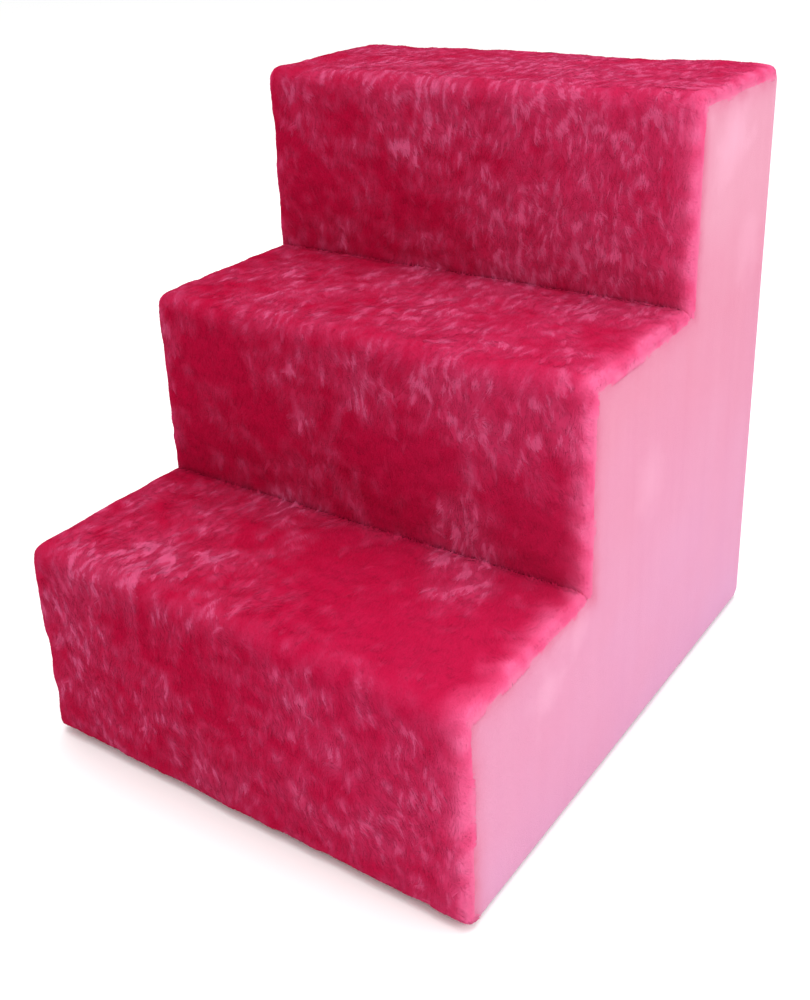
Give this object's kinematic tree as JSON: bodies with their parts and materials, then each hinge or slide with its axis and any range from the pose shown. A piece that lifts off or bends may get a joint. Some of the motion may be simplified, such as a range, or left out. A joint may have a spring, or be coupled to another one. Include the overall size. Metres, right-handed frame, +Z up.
{
  "type": "pet stairs",
  "caption": "Free-standing three-step pet stairs with a plywood carcass, long-pile plush over the steps and plain cloth sides.",
  "frame": {"origin": "centre of the footprint, on the floor under the glides", "axes": "+X across the stairs, +Y from the first step to the back, +Z up"},
  "size_m": [0.37, 0.4544, 0.456],
  "materials": {
    "plywood": "bare birch-faced plywood, lightly sanded",
    "pine": "planed pine",
    "foam": "thin open-cell foam sheet",
    "plush": "deep hot-pink long-pile plush, brushed in all directions",
    "side_cloth": "light-pink short-napped plain cloth",
    "wadding": "thin white wadding",
    "dust_cloth": "black non-woven sheet",
    "glide_plastic": "moulded nylon",
    "steel": "zinc-plated",
    "staple_wire": "galvanised wire"
  },
  "bodies": {
    "root": {"back_cover": "side_cloth", "back_nails": "steel", "back_panel": "plywood", "back_wadding": "wadding", "base_rail_back": "pine", "base_rail_front": "pine", "base_rail_left": "pine", "base_rail_right": "pine", "cleat_screws": "steel", "dust_cover": "dust_cloth", "dust_staples": "staple_wire", "foam_wrap_1": "foam", "foam_wrap_2": "foam", "foam_wrap_3": "foam", "glide_back_left": "glide_plastic", "glide_back_right": "glide_plastic", "glide_front_left": "glide_plastic", "glide_front_right": "glide_plastic", "glide_nails": "steel", "hem_staples": "staple_wire", "rail_screws": "steel", "rim_staples": "staple_wire", "riser_board_1": "plywood", "riser_board_2": "plywood", "riser_board_3": "plywood", "side_board_left": "plywood", "side_board_right": "plywood", "side_cover_left": "side_cloth", "side_cover_right": "side_cloth", "side_screws": "steel", "side_wadding_left": "wadding", "side_wadding_right": "wadding", "step_cover_1": "plush", "step_cover_2": "plush", "step_cover_3": "plush", "tread_board_1": "plywood", "tread_board_2": "plywood", "tread_board_3": "plywood", "tread_cleat_left_1": "pine", "tread_cleat_left_2": "pine", "tread_cleat_left_3": "pine", "tread_cleat_right_1": "pine", "tread_cleat_right_2": "pine", "tread_cleat_right_3": "pine", "tread_screws": "steel", "tuck_staples": "staple_wire"}
  },
  "joints": []
}
